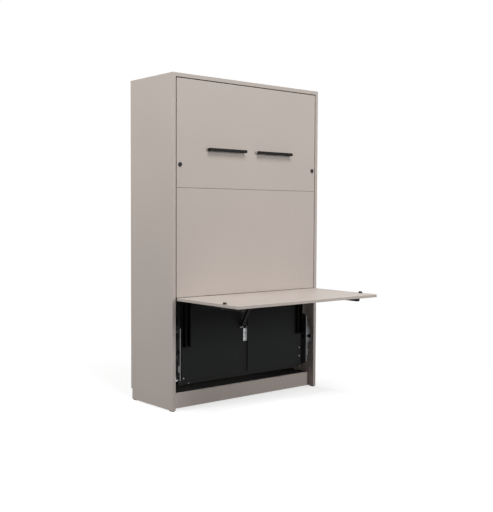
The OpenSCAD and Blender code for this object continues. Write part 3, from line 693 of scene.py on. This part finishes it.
def make_stay_roller():
    """The stay's grooved plastic wheel on its steel axle."""
    low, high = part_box("stay_roller")
    place = towards((0, (low.y + high.y) / 2, (low.z + high.z) / 2), (1, 0, 0))
    wheel, axle = bmesh.new(), bmesh.new()
    form(wheel, place, WHEEL)
    form(axle, place, AXLE)
    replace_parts(piece("stay_wheel", wheel, "black_plastic", "stay"), "stay_roller")
    piece("stay_axle", axle, "zinc", "stay")


# ---- Plugs in the tubes' ends ----

# A plug's sections: height in mm, how much narrower than the tube it is, and the radius of its corners.
# They go from the stem inside the tube over the rounded rim to the slightly sunk middle.
PLUG = ((-8, 5.4, 1), (0, 4.4, 1), (0, 0, 3), (1.2, 0, 3), (1.9, 0.6, 2.8),
        (2.2, 2, 2.4), (2.2, 9, 2), (1.6, 10.4, 1.6))
# The nodes whose tubes have plugs, and the axis that their tubes run along
PLUGGED = {
    "side_rail_caps": ("bed", Z, ("side_rail_left", "side_rail_right")),
    "panel_rail_caps": ("bed", X, ("panel_rails",)),
    "desk_arm_caps": ("desk", Y, ("desk_arm_left", "desk_arm_right")),
}


def plug_sections(width, height):
    rings = [(z, rectangle(width - less, height - less, corner)) for z, less, corner in PLUG]
    return [(rings[0][0], 0), *rings, (rings[-1][0], 0)]


def plug_ends(bm, low, high, axis):
    """Plugs both ends of the tube that fills the box and runs along the axis."""
    width, height = ((high - low)[other] / MM for other in (X, Y, Z) if other != axis)
    for end, way in ((low, -1), (high, 1)):
        place = (low + high) / 2
        place[axis] = end[axis]
        outwards = [way if other == axis else 0 for other in (X, Y, Z)]
        form(bm, towards(place, outwards), plug_sections(width, height))


def make_end_caps():
    """Black plastic plugs in the open ends of the tubes."""
    for name, (body, axis, tubes) in PLUGGED.items():
        bm = bmesh.new()
        for node in tubes:
            for low, high in solids(node):
                plug_ends(bm, low, high, axis)
        piece(name, bm, "black_plastic", body)


# ---- Welds ----

BEAD = 2.2               # a weld bead's radius, in mm
BEAD_STEP = 0.65         # the distance between its sections
BEAD_TAPER = 3           # the length over which each end narrows
RIPPLE = 2.6             # the distance between its ripples
RIPPLE_DEPTH = 0.16      # as a share of the radius
BEAD_SIDES = 14
SEAM_INSET = 2 * MM      # how far a bead stays from the tube's edges
HOOP_RADIUS = 8 * MM
RING_STEPS = 72          # points round the weld of a hoop's foot
RING_RIPPLES = 18        # ripples round it
RING_RIPPLE = 0.3        # their height, in mm


def weld(bm, start, end):
    """A rippled bead between two points."""
    run = Vector(end) - Vector(start)
    length = run.length / MM
    count = round(length / BEAD_STEP)
    sections = [(0, 0)]
    for k in range(1, count):
        height = length * k / count
        taper = min(1, math.sqrt(min(height, length - height) / BEAD_TAPER))
        ripple = 1 - RIPPLE_DEPTH + RIPPLE_DEPTH * abs(math.sin(math.pi * height / RIPPLE))
        sections.append((height, BEAD * taper * ripple))
    form(bm, towards(start, run), sections + [(length, 0)], BEAD_SIDES)


def rippled(radius):
    """A circle with a weld's ripples."""
    return polar(lambda angle: radius + RING_RIPPLE * math.sin(RING_RIPPLES * angle), RING_STEPS)


HOOP_WELD = [(-1, 0), (-1, rippled(10.6)), (0.6, rippled(10.2)), (2, rippled(9.2)), (3, 8.1), (3, 0)]


def make_welds():
    """Beads where the frame's tubes meet, on their rear faces, and rings round the hoops' feet."""
    bm = bmesh.new()
    for node in ("head_rail", "foot_rail", "cross_rails"):
        for low, high in solids(node):
            for x in (low.x, high.x):
                weld(bm, (x, high.y, low.z + SEAM_INSET), (x, high.y, high.z - SEAM_INSET))
    low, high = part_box("centre_beam")
    for z in (low.z, high.z):
        weld(bm, (low.x + SEAM_INSET, high.y, z), (high.x - SEAM_INSET, high.y, z))
    for hoop in ("mattress_hoop_head", "mattress_hoop_foot"):
        low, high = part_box(hoop)
        for x in (low.x + HOOP_RADIUS, high.x - HOOP_RADIUS):
            form(bm, towards((x, low.y, low.z + HOOP_RADIUS), BACKWARDS), HOOP_WELD, RING_STEPS)
    piece("frame_welds", bm, "black_steel", "bed")


# ---- Gas struts and slat holders ----

TUBE_MOUTH, TUBE_END = 250, 664          # the strut tube's ends, in mm from the lower pivot
ROLLED_AT = (TUBE_MOUTH + 7, TUBE_END - 6)
# Rings round the strut. Their sections end as they begin, so each ring is open for the rod or the tube.
WIPER = [(-4.5, 5.3), (-4.5, 6.8), (-3.8, 7.4), (-0.6, 8.4), (0.4, 8.4), (0.4, 5.3), (-4.5, 5.3)]
ROLLED_RING = [(-1.6, 10.8), (-1.1, 11.3), (0, 11.5), (1.1, 11.3), (1.6, 10.8), (-1.6, 10.8)]


def make_strut_rings():
    """A wiper ring on each strut's rod, at the tube's mouth, and a rolled ring near each end of the tube."""
    for side in ("left", "right"):
        foot = Vector(joints[f"{side}_strut_swing"]["pos_m"])
        along = -Vector(joints[f"{side}_strut_stroke"]["axis"])
        wiper, rings = bmesh.new(), bmesh.new()
        form(wiper, towards(foot + along * TUBE_MOUTH * MM, along), WIPER)
        for height in ROLLED_AT:
            form(rings, towards(foot + along * height * MM, along), ROLLED_RING)
        piece(f"{side}_strut_wiper", wiper, "black_plastic", f"{side}_strut_tube")
        piece(f"{side}_strut_rings", rings, "black_steel", f"{side}_strut_tube")


HOLDER_RIB = [(-0.5, 0), (-0.5, rectangle(24, 3.2, 1.5)), (0.5, rectangle(24, 3.2, 1.5)),
              (1, rectangle(23, 2.2, 1)), (1, 0)]
RIB_RISES = (-22, 0, 22)                 # heights of a holder's ribs from its middle, in mm


def make_holder_ribs():
    """Three moulded ribs across the back of each slat holder."""
    bm = bmesh.new()
    for low, high in solids("slat_holders"):
        middle = (low + high) / 2
        for rise in RIB_RISES:
            form(bm, towards((middle.x, high.y, middle.z + rise * MM), BACKWARDS), HOLDER_RIB)
    piece("slat_holder_ribs", bm, "black_plastic", "bed")


bpy.context.scene.view_settings.view_transform = "Standard"
make_camera()
make_world()
make_floor()
make_lamps()
dress_nodes()
make_board_screws()
make_plate_screws()
make_stay_roller()
make_end_caps()
make_frame_screws()
make_welds()
make_strut_rings()
make_holder_ribs()
